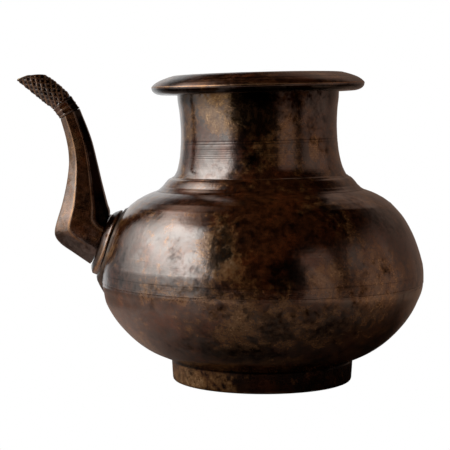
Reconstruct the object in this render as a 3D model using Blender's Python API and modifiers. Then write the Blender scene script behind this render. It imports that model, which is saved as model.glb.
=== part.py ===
"""Brass kalash with a spout: a raised and brazed pot, each piece its own solid.

Metres, +Z up. The foot rests on z = 0 and the spout points along -X. The pot's own axis stands at
x = AXIS_X, so that the whole object's box is centred on the origin.
"""

import math

import bmesh
import bpy
from mathutils import Vector

MM = 0.001

# Driving dimensions
BELLY_RADIUS = 95.0 * MM        # widest part of the belly
SPOUT_REACH = 144.4 * MM        # pot axis to the nozzle's tip
WALL = 2.0 * MM                 # raised sheet of the belly
GAP = 0.3 * MM                  # kept between touching pieces
SEGMENTS = 48                   # facets round a turned piece

AXIS_X = (SPOUT_REACH - BELLY_RADIUS) / 2

# Belly seam: the bowl's lip stands inside the shoulder's skirt
SEAM_BOTTOM = 58.6 * MM         # lower edge of the skirt
SEAM_TOP = 63.9 * MM            # upper edge of the flattened band
SKIRT_RISE = 2.6 * MM           # how far the skirt's straight inside runs above the band
LIP_TOP = 65.6 * MM
LIP_FOOT = 55.0 * MM            # where the lip's straight inside meets the bowl's curve
BRAZE_HEIGHT = 1.6 * MM         # filler standing on the lip

# Neck joint
SPIGOT_RADIUS = 49.2 * MM       # outside of the neck's foot, which stands in the shoulder's mouth
SPIGOT_BOTTOM = 107.0 * MM
SPIGOT_TOP = 124.0 * MM         # top of the straight bore in the neck's foot
SHOULDER_Z = 120.6 * MM         # where the neck sits down on the collar
NECK_WALL = 2.2 * MM
NECK_TOP = 175.2 * MM
RIM_SOCKET = 176.9 * MM         # ledge inside the rim that the neck's top faces
RIM_BOTTOM = 169.2 * MM
RIM_TOP = 180.2 * MM
MOUTH_RADIUS = 45.6 * MM
MOUTH_CHAMFER = 0.9 * MM

# The hand-made lean: the shoulder tips a little and the neck stands over towards the spout
SHOULDER_TILT = math.radians(0.6)
NECK_TILT = math.radians(0.9)
NECK_SLOPE = math.tan(math.radians(1.5))
NECK_SHIFT = 1.4 * MM
LEAN_FROM = 60.0 * MM
SHOULDER_FROM = 104.0 * MM
NECK_FROM = 118.0 * MM
NECK_FULL = 126.0 * MM

# The bowl was raised a little off centre, towards the spout, between its foot and its lip
BOWL_SHIFT = 0.7 * MM
BOWL_FROM = (12.4 * MM, 20.0 * MM)
BOWL_TO = (46.0 * MM, 54.0 * MM)

# Spout
STUB_ANGLE = math.radians(22.0)             # rise of the stub where it leaves the belly
ROOT_POINT = Vector((-91.1, 0, 81.2)) * MM  # where its axis meets the belly, from the pot's axis
PLATE_LENGTH = 20.5 * MM                    # half length of the flange, up the belly
PLATE_WIDTH = 21.0 * MM                     # half width of the flange, round the belly
PLATE_BACK = (2.4 * MM, 1.1 * MM)           # flange's back above the belly, at its middle and edge
PLATE_FACE = (4.9 * MM, 2.4 * MM)           # flange's face above the belly, the same
ROOT_STAND = 5.3 * MM                       # spout's shoulder above the belly
ROOT_HALF = (15.6 * MM, 13.6 * MM)          # spout's root on the flange, half length and width
SPIGOT_HALF = (10.5 * MM, 9.0 * MM)         # spout's spigot through the wall, half length and width
SPIGOT_DEPTH = 5.6 * MM                     # its inner end, inside the belly's outer face
SPOUT_WALL = 1.8 * MM
NECKING = 1.6 * MM                          # how far the tube steps in under the collar
TAPER = 0.6 * MM                            # how much more it has stepped in at its end
NOZZLE_WALL = 1.3 * MM
BEAD = 0.25 * MM                            # how proud the collar's beads stand
BEAD_ROOT = 0.2 * MM                        # depth of the grooves beside and between the beads
BEAD_START, BEAD_END = 0.25, 0.75           # where a bead's flat top lies along its half of the collar
BEAK = 1.3 * MM                             # how far the nozzle's mouth arches over its tip

HOLE_REACH = 20.0 * MM                      # how far the wall's cutter runs each way
PLATE_INNER, PLATE_CROWN = 0.45, 0.8        # flange's hole and the edge of its flat face, as shares
CROWN_SAG = 2.0 * MM                        # how much higher the flat face stands at its bottom
PLATE_SAG = 3.8 * MM                        # the same for the flange's outer edge
BRAZE_SPREAD = 2.0 * MM                     # filler round the spigot inside the wall
BRAZE_DEPTH = 1.5 * MM

OCTAGON = math.tan(math.radians(22.5))      # half side of an octagon one unit from middle to flat
PLATE_STEPS = 32


# ---------------------------------------------------------------- outlines

def smooth(points, steps=3):
    """Catmull-Rom curve through (radius, height) points, with steps spans between two of them."""
    ends = [points[0], *points, points[-1]]
    curve = []
    for before, start, end, after in zip(ends, ends[1:], ends[2:], ends[3:]):
        for step in range(steps):
            t = step / steps
            curve.append(tuple(
                0.5 * (2 * b + (c - a) * t + (2 * a - 5 * b + 4 * c - d) * t ** 2
                       + (3 * b - a - 3 * c + d) * t ** 3)
                for a, b, c, d in zip(before, start, end, after)))
    curve.append(points[-1])
    return curve


def offset(points, distance):
    """The outline moved by distance to the right of its direction, which is inwards on a pot."""
    moved = []
    for index, point in enumerate(points):
        before = points[max(index - 1, 0)]
        after = points[min(index + 1, len(points) - 1)]
        along = Vector((after[0] - before[0], after[1] - before[1])).normalized()
        moved.append((max(point[0] + along.y * distance, 0.0), point[1] - along.x * distance))
    return moved


def in_mm(*points):
    return [(radius * MM, height * MM) for radius, height in points]


# Outer outlines of the pot, from the top down
SHOULDER = smooth(in_mm((49.8, 115.4), (54.5, 114.0), (61.0, 112.3), (67.2, 110.0), (72.5, 107.2)), 1)
SHOULDER += smooth(in_mm((76.9, 104.0), (83.7, 96.2), (88.8, 87.0), (92.2, 77.9), (94.5, 69.5)), 2)
SHOULDER += in_mm((95.0, 63.9), (95.0, 58.6))
BOWL = smooth(in_mm((94.6, 58.3), (94.2, 54.5), (91.2, 45.3), (85.3, 35.6), (76.4, 25.9),
                    (67.1, 19.0), (56.5, 14.0)), 2)
BOWL += in_mm((53.7, 12.4), (50.0, 10.8), (42.0, 8.5), (28.0, 6.4), (12.0, 5.3), (0.0, 5.0))
NECK = smooth(in_mm((47.5, 175.2), (47.4, 166.5), (46.4, 158.0), (45.95, 147.0), (46.7, 135.0),
                    (48.5, 126.0), (50.9, 120.9)), 2)


def outline_radius(height):
    """Radius of the belly's outside at a height above the seam."""
    for (upper_r, upper_z), (lower_r, lower_z) in zip(SHOULDER, SHOULDER[1:]):
        if lower_z <= height <= upper_z:
            share = (height - lower_z) / (upper_z - lower_z)
            return lower_r + (upper_r - lower_r) * share
    for (upper_r, upper_z), (lower_r, lower_z) in zip(BOWL, BOWL[1:]):
        if lower_z <= height <= upper_z:
            share = (height - lower_z) / (upper_z - lower_z)
            return lower_r + (upper_r - lower_r) * share
    return SHOULDER[-1][0]


# ---------------------------------------------------------------- lean

def ease(value, start, end):
    t = min(max((value - start) / (end - start), 0.0), 1.0)
    return t * t * (3 - 2 * t)


def lean(point):
    """Moves a point of the straight turned pot to its place on the leaning one."""
    x, y, z = point
    tilt = SHOULDER_TILT * ease(z, LEAN_FROM, SHOULDER_FROM) + NECK_TILT * ease(z, NECK_FROM, NECK_FULL)
    shift = NECK_SHIFT * ease(z, LEAN_FROM, NECK_FROM) + NECK_SLOPE * max(z - NECK_FROM, 0.0)
    shift += BOWL_SHIFT * (ease(z, *BOWL_FROM) - ease(z, *BOWL_TO))
    return Vector((x * math.cos(tilt) - shift, y, z + x * math.sin(tilt)))


def unlean(point):
    straight = Vector(point)
    for _ in range(6):
        straight += Vector(point) - lean(straight)
    return straight


# ---------------------------------------------------------------- objects

def clear_scene():
    for item in list(bpy.data.objects):
        bpy.data.objects.remove(item, do_unlink=True)


def new_collection(name):
    collection = bpy.data.collections.new(name)
    bpy.context.scene.collection.children.link(collection)
    return collection


def metal(name, color, roughness, metallic=1.0):
    material = bpy.data.materials.new(name)
    material.use_nodes = True
    shader = material.node_tree.nodes["Principled BSDF"]
    shader.inputs["Base Color"].default_value = (*color, 1.0)
    shader.inputs["Roughness"].default_value = roughness
    shader.inputs["Metallic"].default_value = metallic
    return material


def add_object(name, mesh, collection, material=None):
    item = bpy.data.objects.new(name, mesh)
    collection.objects.link(item)
    if material:
        mesh.materials.clear()
        mesh.materials.append(material)
    return item


def finish_piece(item, sharp_degrees=35):
    item.parent = pot_axis
    item.data.shade_smooth()
    item.data.set_sharp_from_angle(angle=math.radians(sharp_degrees))


def turned(name, outline, material, closed=True, leaning=True):
    """Turns an outline that runs down its outer side, then leans the result by hand's error."""
    count = len(outline)
    mesh = bpy.data.meshes.new(name + "_outline")
    edges = [(index, index + 1) for index in range(count - 1)]
    if closed:
        edges.append((count - 1, 0))
    mesh.from_pydata([(radius, 0.0, height) for radius, height in outline], edges, [])
    blank = add_object(name + "_outline", mesh, parts)
    screw = blank.modifiers.new("Turn", "SCREW")
    screw.steps = SEGMENTS
    screw.render_steps = SEGMENTS
    screw.use_merge_vertices = True
    screw.merge_threshold = 0.00001
    evaluated = blank.evaluated_get(bpy.context.evaluated_depsgraph_get())
    solid = bpy.data.meshes.new_from_object(evaluated)
    solid.name = name
    bpy.data.objects.remove(blank, do_unlink=True)
    if leaning:
        for vertex in solid.vertices:
            vertex.co = lean(vertex.co)
    item = add_object(name, solid, parts, material)
    finish_piece(item)
    return item


def ring_of_faces(name, rings, material, collection, sharp_degrees=30):
    """A closed tube-like solid from rings of equal length: each joined to the next, last to first."""
    mesh = bmesh.new()
    loops = [[mesh.verts.new(point) for point in ring] for ring in rings]
    for near, far in zip(loops, loops[1:] + loops[:1]):
        for index in range(len(near)):
            following = (index + 1) % len(near)
            mesh.faces.new((near[index], near[following], far[following], far[index]))
    bmesh.ops.recalc_face_normals(mesh, faces=mesh.faces)
    data = bpy.data.meshes.new(name)
    mesh.to_mesh(data)
    mesh.free()
    item = add_object(name, data, collection, material)
    finish_piece(item, sharp_degrees)
    return item


def cut(item, cutter):
    boolean = item.modifiers.new("Cut " + cutter.name, "BOOLEAN")
    boolean.operation = "DIFFERENCE"
    boolean.object = cutter


# ---------------------------------------------------------------- the pot

def make_lower_shell():
    lip_radius = BELLY_RADIUS - WALL - GAP
    lip_inside = lip_radius - WALL
    outside = [(lip_radius, LIP_TOP), (lip_radius, SEAM_BOTTOM - GAP), *BOWL]
    inside = offset(BOWL, WALL)[4::2]
    inside[-1] = (0.0, BOWL[-1][1] + WALL)
    inside = [(lip_inside, LIP_TOP), (lip_inside, LIP_FOOT), *inside]
    return turned("lower_shell", inside[::-1] + outside, brass_body, closed=False)


def make_upper_shell():
    skirt = BELLY_RADIUS - WALL
    inside = offset(SHOULDER[:-2], WALL)[::2]
    inside[0] = (SHOULDER[0][0], inside[0][1])
    inside += [(skirt, SEAM_TOP + SKIRT_RISE), (skirt, SEAM_BOTTOM)]
    shell = turned("upper_shell", SHOULDER + inside[::-1], brass_body)
    cut(shell, spout_hole)
    return shell


def make_collar():
    inner = SPIGOT_RADIUS + GAP
    top = SHOULDER_Z - GAP
    band = smooth(in_mm((52.0, 120.1), (53.6, 119.3), (55.0, 118.0), (56.6, 116.2), (57.8, 114.7)), 2)
    outline = [(inner, top), (51.0 * MM, top), *band]
    outline += in_mm((59.8, 113.3), (59.5, 113.1), (54.6, 114.35), (50.0, 115.75))
    outline += [(inner, 116.0 * MM)]
    return turned("neck_collar", outline, brass_body)


def make_neck():
    spigot_inside = SPIGOT_RADIUS - NECK_WALL
    inside = offset(NECK, NECK_WALL)[::2]
    inside[0] = (NECK[0][0] - NECK_WALL, NECK_TOP)
    inside[-1] = (spigot_inside, SPIGOT_TOP)
    outline = [*NECK, (50.9 * MM, SHOULDER_Z), (SPIGOT_RADIUS, SHOULDER_Z),
               (SPIGOT_RADIUS, SPIGOT_BOTTOM), (spigot_inside, SPIGOT_BOTTOM), *inside[::-1]]
    return turned("neck", outline, brass_body)


def make_rim():
    socket = NECK[0][0] + GAP
    top = [(MOUTH_RADIUS + MOUTH_CHAMFER, RIM_TOP), (50.6 * MM, RIM_TOP)]
    roll = smooth(in_mm((53.0, 179.4), (57.4, 177.8), (60.2, 176.3), (61.9, 174.8), (62.6, 173.5),
                        (62.2, 172.0), (60.6, 170.5), (57.4, 169.5)), 2)
    under = [(52.0 * MM, RIM_BOTTOM), (socket, RIM_BOTTOM), (socket, RIM_SOCKET)]
    mouth = [(MOUTH_RADIUS, RIM_SOCKET), (MOUTH_RADIUS, RIM_TOP - MOUTH_CHAMFER)]
    return turned("rim_ring", top + roll + under + mouth, brass_dark)


def make_foot():
    outline = in_mm((53.75, 12.0), (53.4, 6.0), (53.1, 1.2), (52.1, 0.0), (49.7, 0.0), (50.0, 10.4))
    return turned("foot_ring", outline, brass_dark, leaning=False)


def make_ring_brazes():
    """Filler metal run round each turned joint, in the corner where the pieces meet."""
    lip = BELLY_RADIUS - WALL - GAP
    turned("belly_braze", [(lip, LIP_TOP + GAP + BRAZE_HEIGHT), (lip, LIP_TOP + GAP),
                           (lip - WALL, LIP_TOP + GAP)], braze, leaning=False)
    turned("foot_braze", in_mm((49.65, 10.1), (49.65, 7.2), (46.4, 9.2)), braze, leaning=False)
    turned("neck_braze", in_mm((52.6, 111.6), (49.6, 109.0), (49.6, 112.6)), braze)
    turned("rim_braze", [(NECK[0][0], RIM_SOCKET - GAP), (NECK[0][0], NECK_TOP + GAP),
                         (MOUTH_RADIUS + GAP, NECK_TOP + GAP),
                         (MOUTH_RADIUS + GAP, RIM_SOCKET - GAP)], braze)


# ---------------------------------------------------------------- the spout

STUB_OUT = Vector((-math.cos(STUB_ANGLE), 0.0, math.sin(STUB_ANGLE)))
STUB_UP = Vector((math.sin(STUB_ANGLE), 0.0, math.cos(STUB_ANGLE)))
ACROSS = Vector((0.0, 1.0, 0.0))


def off_belly(up, across, height):
    """The point over (up, across) on the flange's own axes, height off the belly's outside."""
    base = ROOT_POINT + STUB_UP * up + ACROSS * across
    low, high = -25.0 * MM, 25.0 * MM
    for _ in range(30):
        middle = (low + high) / 2
        straight = unlean(base + STUB_OUT * middle)
        if math.hypot(straight.x, straight.y) < outline_radius(straight.z):
            low = middle
        else:
            high = middle
    return base + STUB_OUT * (low + height)


def octagon(middle, up, across):
    """Eight corners round middle; up and across are the half sizes as vectors."""
    corners = [(1, OCTAGON), (OCTAGON, 1), (-OCTAGON, 1), (-1, OCTAGON),
               (-1, -OCTAGON), (-OCTAGON, -1), (OCTAGON, -1), (1, -OCTAGON)]
    return [middle + up * a + across * b for a, b in corners]


def section(outer, inner, half_depth, shrink=0.0):
    """An octagon between the outer and inner edge of the spout's side view, in mm."""
    start = Vector((outer[0], 0.0, outer[1])) * MM
    end = Vector((inner[0], 0.0, inner[1])) * MM
    half = (end - start) / 2
    half -= half.normalized() * shrink
    return octagon((start + end) / 2, half, ACROSS * (half_depth * MM - shrink))


def stub_section(stand, half_up, half_across):
    return octagon(ROOT_POINT + STUB_OUT * stand, STUB_UP * half_up, ACROSS * half_across)


# Side view of the spout from its root to the collar: outer edge, inner edge, half depth
SPOUT_SECTIONS = [
    ((-111.6, 75.4), (-90.5, 97.6), 13.8),
    ((-118.2, 80.0), (-90.4, 98.3), 13.9),
    ((-121.9, 84.4), (-90.4, 99.0), 13.9),
    ((-122.5, 88.6), (-90.5, 99.9), 13.8),
    ((-121.0, 94.8), (-90.9, 101.3), 13.4),
    ((-118.1, 104.0), (-92.0, 104.6), 12.5),
    ((-115.2, 117.4), (-95.3, 118.2), 10.0),
    ((-114.0, 129.3), (-98.1, 130.6), 8.2),
    ((-115.3, 141.0), (-101.4, 143.4), 7.2),
    ((-118.8, 153.8), (-107.7, 159.9), 6.6),
]
# Collar: where its first bead begins, where the two meet, and where the second ends
COLLAR_START = ((-119.0, 154.1), (-107.9, 160.3), 6.6)
COLLAR_MIDDLE = ((-120.9, 156.8), (-110.1, 163.9), 6.6)
COLLAR_END = ((-122.8, 159.2), (-112.7, 167.3), 6.6)
# Nozzle from the collar to its mouth, and where its socket for the tube's end stops
NOZZLE_SECTIONS = [
    ((-123.0, 159.45), (-112.9, 167.55), 6.5),
    ((-127.9, 162.9), (-115.4, 170.6), 6.9),
    ((-133.2, 167.2), (-119.6, 174.4), 7.2),
    ((-138.6, 171.6), (-123.9, 177.8), 7.0),
    ((-144.3, 176.3), (-127.6, 179.9), 6.6),
]
SOCKET_END = ((-128.4, 163.3), (-115.8, 171.0), 6.9)


def octagon_off_belly(half_up, half_across, height, sag=0.0):
    """An octagon of the stub's own axes laid on the belly, height off it, and by sag more at its
    bottom."""
    corners = octagon(Vector(), Vector((half_up, 0, 0)), Vector((0, half_across, 0)))
    return [off_belly(corner.x, corner.y, height + sag * max(-corner.x / half_up, 0.0) ** 3)
            for corner in corners]


def make_spout_tube():
    spigot_up, spigot_across = SPIGOT_HALF
    outer = [stub_section(-SPIGOT_DEPTH, spigot_up, spigot_across),
             stub_section(ROOT_STAND, spigot_up, spigot_across),
             octagon_off_belly(*ROOT_HALF, PLATE_FACE[0] + 1.6 * GAP, CROWN_SAG)]
    outer += [section(*side) for side in SPOUT_SECTIONS]
    outer += [section(*COLLAR_START, shrink=NECKING), section(*COLLAR_END, shrink=NECKING),
              section(*NOZZLE_SECTIONS[1], shrink=NECKING + TAPER)]
    bore = [section(*NOZZLE_SECTIONS[1], shrink=NECKING + TAPER + NOZZLE_WALL),
            section(*COLLAR_END, shrink=NECKING + NOZZLE_WALL),
            section(*COLLAR_START, shrink=NECKING + NOZZLE_WALL)]
    bore += [section(*side, shrink=SPOUT_WALL) for side in SPOUT_SECTIONS[-2::-1]]
    bore += [stub_section(ROOT_STAND, spigot_up - SPOUT_WALL, spigot_across - SPOUT_WALL),
             stub_section(-SPIGOT_DEPTH, spigot_up - SPOUT_WALL, spigot_across - SPOUT_WALL)]
    return ring_of_faces("spout_tube", outer + bore, brass_spout, parts, sharp_degrees=12)


def make_spout_collar():
    """Two beads round the joint between the tube and the nozzle."""
    def between(first, second, share):
        mixed = [tuple(a + (b - a) * share for a, b in zip(first[edge], second[edge]))
                 for edge in (0, 1)]
        return (*mixed, first[2])

    rings = [section(*COLLAR_START, shrink=BEAD_ROOT)]
    for first, second in ((COLLAR_START, COLLAR_MIDDLE), (COLLAR_MIDDLE, COLLAR_END)):
        rings.append(section(*between(first, second, BEAD_START), shrink=-BEAD))
        rings.append(section(*between(first, second, BEAD_END), shrink=-BEAD))
        rings.append(section(*second, shrink=BEAD_ROOT))
    rings.append(section(*COLLAR_END, shrink=NECKING - GAP))
    rings.append(section(*COLLAR_START, shrink=NECKING - GAP))
    return ring_of_faces("spout_collar", rings, brass_dark, parts, sharp_degrees=12)


def arch_mouth(ring):
    """Lifts the middle of the mouth, so that its lip arches down to the tip."""
    middle = sum((point.x for point in ring)) / len(ring)
    half = max(abs(point.x - middle) for point in ring)
    return [point + Vector((0, 0, BEAK * (1 - ((point.x - middle) / half) ** 2))) for point in ring]


def make_nozzle():
    start, tube_end = NOZZLE_SECTIONS[:2]
    outer = [section(*side) for side in NOZZLE_SECTIONS]
    bore = [section(*side, shrink=NOZZLE_WALL) for side in NOZZLE_SECTIONS[:1:-1]]
    outer[-1] = arch_mouth(outer[-1])
    bore[0] = arch_mouth(bore[0])
    bore += [section(*SOCKET_END, shrink=NECKING + TAPER - GAP),
             section(*tube_end, shrink=NECKING + TAPER - GAP),
             section(*start, shrink=NECKING - GAP)]
    return ring_of_faces("spout_nozzle", outer + bore, brass_dark, parts, sharp_degrees=25)


def oval(factor, height, sag=0.0, run=0.0):
    """A ring of points over the flange's oval scaled by factor, height off the belly; at its bottom
    it is higher by sag and lower down the belly by run."""
    points = []
    for step in range(PLATE_STEPS):
        angle = 2 * math.pi * step / PLATE_STEPS
        low = max(-math.cos(angle), 0.0) ** 3
        points.append(off_belly(PLATE_LENGTH * factor * math.cos(angle) - run * low,
                                PLATE_WIDTH * factor * math.sin(angle), height + sag * low))
    return points


def make_flange():
    plate = ring_of_faces("spout_flange", [
        oval(PLATE_INNER, PLATE_FACE[0]), oval(PLATE_CROWN, PLATE_FACE[0], CROWN_SAG),
        oval(1.0, PLATE_FACE[1], PLATE_SAG),
        oval(1.0, PLATE_BACK[1]), oval(PLATE_INNER, PLATE_BACK[0])], brass_dark, parts)
    cut(plate, spout_hole)
    return plate


# Solder under and round the flange: share of its oval, height off the belly, and at the bottom how
# much higher it stands and how far it has run down
SOLDER_RINGS = [
    (0.98, 1.4 * GAP, 0.0, 0.0),
    (0.84, 1.4 * GAP, 0.0, 0.0),
    (0.84, PLATE_BACK[1] - GAP, 0.0, 0.0),
    (1.02, PLATE_BACK[1] - GAP, 0.0, 0.0),
    (1.035, 1.2 * MM, 3.9 * MM, 0.0),
    (1.07, 0.9 * MM, 2.4 * MM, 1.4 * MM),
    (1.11, 0.6 * MM, 1.5 * MM, 4.0 * MM),
    (1.13, 1.5 * GAP, 0.0, 5.5 * MM),
]


def make_flange_solder():
    return ring_of_faces("flange_solder", [oval(*ring) for ring in SOLDER_RINGS], braze, parts)


def make_spout_braze():
    """Filler round the spout's root on the inside of the belly."""
    def round_spigot(spread, height):
        return octagon_off_belly(SPIGOT_HALF[0] + spread, SPIGOT_HALF[1] + spread, height)

    back = -WALL - 1.6 * GAP
    return ring_of_faces("spout_braze", [
        round_spigot(GAP, back), round_spigot(BRAZE_SPREAD, back),
        round_spigot(GAP, back - BRAZE_DEPTH)], braze, parts)


def make_spout_hole():
    spigot_up, spigot_across = SPIGOT_HALF
    near = stub_section(-HOLE_REACH, spigot_up + GAP, spigot_across + GAP)
    far = stub_section(HOLE_REACH, spigot_up + GAP, spigot_across + GAP)
    mesh = bmesh.new()
    lower = [mesh.verts.new(point) for point in near]
    upper = [mesh.verts.new(point) for point in far]
    mesh.faces.new(lower)
    mesh.faces.new(upper)
    for index in range(len(lower)):
        following = (index + 1) % len(lower)
        mesh.faces.new((lower[index], lower[following], upper[following], upper[index]))
    bmesh.ops.recalc_face_normals(mesh, faces=mesh.faces)
    data = bpy.data.meshes.new("spout_hole")
    mesh.to_mesh(data)
    mesh.free()
    cutter = add_object("spout_hole", data, cutters)
    cutter.parent = pot_axis
    cutter.hide_render = True
    cutter.display_type = "WIRE"
    return cutter


clear_scene()
parts = new_collection("Brass kalash with spout")
cutters = new_collection("Cutters")

pot_axis = bpy.data.objects.new("pot_axis", None)
pot_axis.location = (AXIS_X, 0.0, 0.0)
parts.objects.link(pot_axis)

brass_body = metal("patinated_brass", (0.10, 0.045, 0.022), 0.34)
brass_dark = metal("dark_brass", (0.075, 0.036, 0.020), 0.38)
brass_spout = metal("rubbed_brass", (0.16, 0.080, 0.040), 0.36)
braze = metal("braze", (0.20, 0.155, 0.095), 0.5)

spout_hole = make_spout_hole()
make_lower_shell()
make_upper_shell()
make_collar()
make_neck()
make_rim()
make_foot()
make_ring_brazes()
make_spout_tube()
make_spout_collar()
make_nozzle()
make_flange()
make_flange_solder()
make_spout_braze()
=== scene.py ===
"""Brass kalash with a spout: the visible pieces, their patina, the camera and the light.

Metres, +Z up, in the CAD model's frame. The pot's axis stands at x = AXIS_X and the spout points
along -X. Every piece is made again here from the CAD model's own outlines, finer and with the marks
of handwork, and takes the place of its CAD solid.
"""

import math

import bpy
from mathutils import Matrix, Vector, noise


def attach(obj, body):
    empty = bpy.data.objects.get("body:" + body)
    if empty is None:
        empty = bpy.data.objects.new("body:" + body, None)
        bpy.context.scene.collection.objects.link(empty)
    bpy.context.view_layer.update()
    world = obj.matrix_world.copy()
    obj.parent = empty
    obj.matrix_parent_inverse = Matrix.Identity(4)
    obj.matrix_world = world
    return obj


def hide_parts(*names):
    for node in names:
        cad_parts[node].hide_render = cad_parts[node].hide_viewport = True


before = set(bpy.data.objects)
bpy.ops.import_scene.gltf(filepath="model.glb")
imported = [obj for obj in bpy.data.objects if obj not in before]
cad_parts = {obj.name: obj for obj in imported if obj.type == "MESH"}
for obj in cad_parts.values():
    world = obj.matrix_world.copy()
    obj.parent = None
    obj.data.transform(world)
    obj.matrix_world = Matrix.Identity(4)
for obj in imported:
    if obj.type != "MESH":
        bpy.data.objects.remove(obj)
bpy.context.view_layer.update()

MM = 0.001

# The CAD model's driving dimensions: the pot's place, its sheet and the gap in each brazed joint
BELLY_RADIUS = 95.0 * MM
SPOUT_REACH = 144.4 * MM
AXIS_X = (SPOUT_REACH - BELLY_RADIUS) / 2
WALL = 2.0 * MM
GAP = 0.3 * MM

# The lap of the two shells, seen as a band round the belly
SEAM_BOTTOM = 58.6 * MM
SEAM_TOP = 63.9 * MM
SKIRT_RISE = 2.6 * MM
LIP_TOP = 65.6 * MM
LIP_FOOT = 55.0 * MM

# The neck, and the spigot at its foot that stands in the shoulder
SPIGOT_RADIUS = 49.2 * MM
SPIGOT_BOTTOM = 107.0 * MM
SPIGOT_TOP = 124.0 * MM
SHOULDER_Z = 120.6 * MM
NECK_WALL = 2.2 * MM
NECK_TOP = 175.2 * MM

# The rim and the mouth
RIM_SOCKET = 176.9 * MM
RIM_BOTTOM = 169.2 * MM
RIM_TOP = 180.2 * MM
MOUTH_RADIUS = 45.6 * MM
MOUTH_CHAMFER = 0.9 * MM

# How the hand-made pot leans, and between which heights
SHOULDER_TILT = math.radians(0.6)
NECK_TILT = math.radians(0.9)
NECK_SLOPE = math.tan(SHOULDER_TILT + NECK_TILT)
NECK_SHIFT = 1.4 * MM
LEAN_FROM = 60.0 * MM
SHOULDER_FROM = 104.0 * MM
NECK_FROM = 118.0 * MM
NECK_FULL = 126.0 * MM
BOWL_SHIFT = 0.7 * MM
BOWL_FROM = (12.4 * MM, 20.0 * MM)
BOWL_TO = (46.0 * MM, 54.0 * MM)

# The spout's root and its flange; a pair is in the middle and at the edge, or up and across
STUB_ANGLE = math.radians(22.0)
ROOT_POINT = Vector((-91.1, 0, 81.2)) * MM
PLATE_LENGTH = 20.5 * MM
PLATE_WIDTH = 21.0 * MM
PLATE_BACK = (2.4 * MM, 1.1 * MM)
PLATE_FACE = (4.9 * MM, 2.4 * MM)
CROWN_SAG = 2.0 * MM
PLATE_SAG = 3.8 * MM
ROOT_STAND = 5.3 * MM
ROOT_HALF = (15.6 * MM, 13.6 * MM)
ROOT_SPIGOT_HALF = (10.5 * MM, 9.0 * MM)
ROOT_SPIGOT_DEPTH = 5.6 * MM

# The ways out of the belly, up and across at the spout's root
STUB_OUT = Vector((-math.cos(STUB_ANGLE), 0.0, math.sin(STUB_ANGLE)))
STUB_UP = Vector((math.sin(STUB_ANGLE), 0.0, math.cos(STUB_ANGLE)))
ACROSS = Vector((0.0, 1.0, 0.0))

# The spout's walls, and how far its end is necked down to take the collar and the nozzle
SPOUT_WALL = 1.8 * MM
NOZZLE_WALL = 1.3 * MM
NECKING = 1.6 * MM
TAPER = 0.6 * MM

# Half the side of an octagon whose flats are one from its middle
OCTAGON = math.tan(math.radians(22.5))

# How fine the visible surface is: round the pot, along its outlines in sight and out of sight, and
# between two points of a smooth curve
SEGMENTS = 288
FINE = 1.0 * MM
COARSE = 3.0 * MM
STEPS = 8


# -------- outlines

def smooth(points, steps=STEPS):
    """A Catmull-Rom curve through points of any dimension, with steps spans between two of them."""
    ends = [points[0], *points, points[-1]]
    curve = []
    for before, start, end, after in zip(ends, ends[1:], ends[2:], ends[3:]):
        for step in range(steps):
            t = step / steps
            curve.append(tuple(
                0.5 * (2 * b + (c - a) * t + (2 * a - 5 * b + 4 * c - d) * t ** 2
                       + (3 * b - a - 3 * c + d) * t ** 3)
                for a, b, c, d in zip(before, start, end, after)))
    curve.append(tuple(points[-1]))
    return curve


def in_mm(*points):
    return [(radius * MM, height * MM) for radius, height in points]


def offset(points, distance):
    """The outline moved by distance to the right of its direction, which is inwards on a pot."""
    moved = []
    for index, point in enumerate(points):
        before = points[max(index - 1, 0)]
        after = points[min(index + 1, len(points) - 1)]
        along = Vector((after[0] - before[0], after[1] - before[1])).normalized()
        moved.append((max(point[0] + along.y * distance, 0.0), point[1] - along.x * distance))
    return moved


def between(first, second, share):
    return tuple(a + (b - a) * share for a, b in zip(first, second))


def spaced(points, spacing):
    """The outline with points at most spacing apart, keeping every corner it has."""
    finer = [points[0]]
    for start, end in zip(points, points[1:]):
        length = math.hypot(end[0] - start[0], end[1] - start[1])
        count = max(1, math.ceil(length / spacing))
        finer += [between(start, end, step / count) for step in range(1, count + 1)]
    return finer


SHOULDER = smooth(in_mm((49.8, 115.4), (54.5, 114.0), (61.0, 112.3), (67.2, 110.0), (72.5, 107.2)))
SHOULDER += smooth(in_mm((76.9, 104.0), (83.7, 96.2), (88.8, 87.0), (92.2, 77.9), (94.5, 69.5)))
SHOULDER += smooth(in_mm((94.73, 67.6), (94.9, 65.8), (94.98, 64.3)), 4)
SHOULDER += in_mm((95.0, 63.9), (95.0, 58.9), (94.7, 58.6))
BOWL = smooth(in_mm((94.72, 58.58), (94.2, 54.5), (91.2, 45.3), (85.3, 35.6), (76.4, 25.9),
                    (67.1, 19.0), (56.5, 14.0)))
BOWL += in_mm((53.7, 12.4), (50.0, 10.8), (42.0, 8.5), (28.0, 6.4), (12.0, 5.3), (0.02, 5.0))
NECK = smooth(in_mm((47.5, 175.2), (47.4, 166.5), (46.4, 158.0), (45.95, 147.0), (46.7, 135.0),
                    (48.5, 126.0), (50.9, 120.9)))


def outline_radius(height):
    """Radius of the belly's outside at a height."""
    for outline in (SHOULDER, BOWL):
        for (upper_r, upper_z), (lower_r, lower_z) in zip(outline, outline[1:]):
            if lower_z <= height <= upper_z:
                share = (height - lower_z) / (upper_z - lower_z)
                return lower_r + (upper_r - lower_r) * share
    return BELLY_RADIUS


def ease(value, start, end):
    t = min(max((value - start) / (end - start), 0.0), 1.0)
    return t * t * (3 - 2 * t)


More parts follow.
